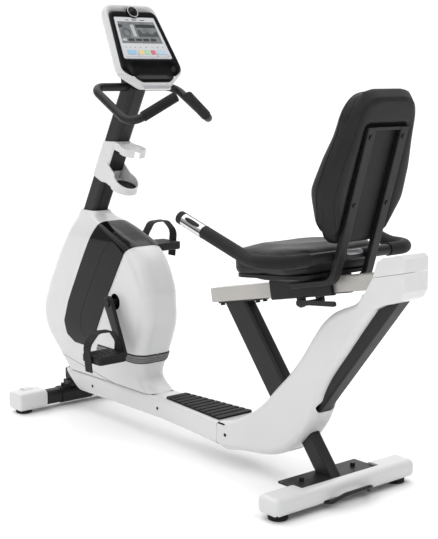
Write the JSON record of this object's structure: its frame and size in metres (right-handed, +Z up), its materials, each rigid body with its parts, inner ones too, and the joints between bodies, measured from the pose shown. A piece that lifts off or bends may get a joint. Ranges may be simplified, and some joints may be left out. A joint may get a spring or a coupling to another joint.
{
  "type": "recumbent exercise bike",
  "caption": "Recumbent stationary exercise bike with step-through frame, sliding seat with backrest and side handles, crank drive in a rounded housing and a tilted console on a mast.",
  "frame": {"origin": "centre of the footprint on the floor", "axes": "+X to the front (the console end), +Y to the rider's left, +Z up"},
  "size_m": [1.636, 0.5566, 1.3421],
  "materials": {
    "charcoal_steel": "satin",
    "rail_steel": "satin",
    "white_shell": "gloss",
    "black_gloss": "gloss",
    "dark_plastic": "matte",
    "foam": "matte",
    "rubber": "matte",
    "upholstery": "matte",
    "bright_steel": "brushed",
    "cast_iron": "machined",
    "silver_panel": "satin",
    "silver_trim": "satin",
    "screen": "gloss",
    "key_blue": "satin",
    "key_amber": "satin",
    "key_green": "satin",
    "key_red": "satin",
    "key_cyan": "satin"
  },
  "bodies": {
    "frame": {"seat_post_tube": "charcoal_steel", "base_beam_tube": "charcoal_steel", "seat_rail": "rail_steel", "front_post_tube": "charcoal_steel", "mast_tube": "charcoal_steel", "crank_frame": "charcoal_steel", "drive_brackets": "bright_steel", "drive_belt": "rubber", "housing_left": "white_shell", "housing_right": "white_shell", "wrap_panels": "black_gloss", "power_inlet": "dark_plastic", "beam_cover": "white_shell", "foot_pad": "rubber", "rear_cover_left": "white_shell", "rear_cover_right": "white_shell", "rear_head_covers": "white_shell", "front_stabiliser": "charcoal_steel", "front_stabiliser_caps": "white_shell", "rear_stabiliser": "charcoal_steel", "rear_stabiliser_cover": "white_shell", "handlebar": "charcoal_steel", "handlebar_grips": "foam", "bottle_holder": "white_shell", "bottle_tray": "dark_plastic", "console_shell": "white_shell", "console_bezel": "black_gloss", "console_panel": "silver_panel", "console_lcd": "screen", "console_lip": "silver_trim"},
    "crankset": {"crank_axle_and_pulley": "dark_plastic", "crank_arm_left": "charcoal_steel", "crank_arm_right": "charcoal_steel", "crank_caps": "dark_plastic"},
    "pedal_left": {"pedal_left": "dark_plastic", "pedal_strap_left": "rubber"},
    "pedal_right": {"pedal_right": "dark_plastic", "pedal_strap_right": "rubber"},
    "flywheel": {"flywheel": "cast_iron"},
    "brake_yoke": {"brake_yoke": "bright_steel"},
    "seat": {"seat_carriage_and_pan": "dark_plastic", "seat_cushion": "upholstery", "back_bars": "charcoal_steel", "backrest_shell": "dark_plastic", "backrest_cushion": "upholstery", "seat_handle": "charcoal_steel", "seat_handle_grips": "foam", "pulse_plates": "bright_steel"},
    "seat_lever": {"seat_lever": "charcoal_steel"},
    "wheel_left": {"transport_wheel_left": "rubber"},
    "wheel_right": {"transport_wheel_right": "rubber"},
    "foot_front_left": {"foot_front_left": "rubber"},
    "foot_front_right": {"foot_front_right": "rubber"},
    "foot_rear_left": {"foot_rear_left": "rubber"},
    "foot_rear_right": {"foot_rear_right": "rubber"},
    "key_blue": {"console_key_blue": "key_blue"},
    "key_amber": {"console_key_amber": "key_amber"},
    "key_green": {"console_key_green": "key_green"},
    "key_red": {"console_key_red": "key_red"},
    "key_cyan": {"console_key_cyan": "key_cyan"}
  },
  "joints": [
    {"name": "flywheel_spin", "type": "hinge", "parent": "frame", "child": "flywheel", "pos_m": [0.52, 0, 0.272], "axis": [0, 1, 0], "continuous": true},
    {"name": "crank_spin", "type": "hinge", "parent": "frame", "child": "crankset", "pos_m": [0.359, 0, 0.415], "axis": [0, 1, 0], "continuous": true},
    {"name": "pedal_left_spin", "type": "hinge", "parent": "crankset", "child": "pedal_left", "pos_m": [0.28315, 0.168, 0.26286], "axis": [0, 1, 0], "continuous": true},
    {"name": "pedal_right_spin", "type": "hinge", "parent": "crankset", "child": "pedal_right", "pos_m": [0.43485, -0.168, 0.56714], "axis": [0, 1, 0], "continuous": true},
    {"name": "brake_swing", "type": "hinge", "parent": "frame", "child": "brake_yoke", "pos_m": [0.402, 0, 0.19], "axis": [0, 1, 0], "range_deg": [-1.5, 1.5]},
    {"name": "seat_slide", "type": "slide", "parent": "frame", "child": "seat", "axis": [-0.9813, 0, 0.1925], "range_m": [-0.15, 0.06]},
    {"name": "seat_lever_lift", "type": "hinge", "parent": "seat", "child": "seat_lever", "pos_m": [-0.45263, 0, 0.52552], "axis": [0, 1, 0], "range_deg": [0, 7], "stiffness_Nm_per_rad": 1, "springref_deg": -14.32},
    {"name": "wheel_left_spin", "type": "hinge", "parent": "frame", "child": "wheel_left", "pos_m": [0.738, 0.179, 0.041], "axis": [0, 1, 0], "continuous": true},
    {"name": "wheel_right_spin", "type": "hinge", "parent": "frame", "child": "wheel_right", "pos_m": [0.738, -0.179, 0.041], "axis": [0, 1, 0], "continuous": true},
    {"name": "foot_front_left_turn", "type": "hinge", "parent": "frame", "child": "foot_front_left", "pos_m": [0.716, 0.202, 0.02], "axis": [0, 0, 1], "continuous": true},
    {"name": "foot_front_right_turn", "type": "hinge", "parent": "frame", "child": "foot_front_right", "pos_m": [0.716, -0.202, 0.02], "axis": [0, 0, 1], "continuous": true},
    {"name": "foot_rear_left_turn", "type": "hinge", "parent": "frame", "child": "foot_rear_left", "pos_m": [-0.568, 0.224, 0.02], "axis": [0, 0, 1], "continuous": true},
    {"name": "foot_rear_right_turn", "type": "hinge", "parent": "frame", "child": "foot_rear_right", "pos_m": [-0.568, -0.224, 0.02], "axis": [0, 0, 1], "continuous": true},
    {"name": "key_blue_press", "type": "slide", "parent": "frame", "child": "key_blue", "axis": [0.8572, 0, -0.515], "range_m": [0, 0.001], "stiffness_N_per_m": 500, "springref_m": -0.001},
    {"name": "key_amber_press", "type": "slide", "parent": "frame", "child": "key_amber", "axis": [0.8572, 0, -0.515], "range_m": [0, 0.001], "stiffness_N_per_m": 500, "springref_m": -0.001},
    {"name": "key_green_press", "type": "slide", "parent": "frame", "child": "key_green", "axis": [0.8572, 0, -0.515], "range_m": [0, 0.001], "stiffness_N_per_m": 500, "springref_m": -0.001},
    {"name": "key_red_press", "type": "slide", "parent": "frame", "child": "key_red", "axis": [0.8572, 0, -0.515], "range_m": [0, 0.001], "stiffness_N_per_m": 500, "springref_m": -0.001},
    {"name": "key_cyan_press", "type": "slide", "parent": "frame", "child": "key_cyan", "axis": [0.8572, 0, -0.515], "range_m": [0, 0.001], "stiffness_N_per_m": 500, "springref_m": -0.001}
  ],
  "couplings": [
    {"joint": "crank_spin", "follows": "flywheel_spin", "ratio": 0.19048}
  ]
}
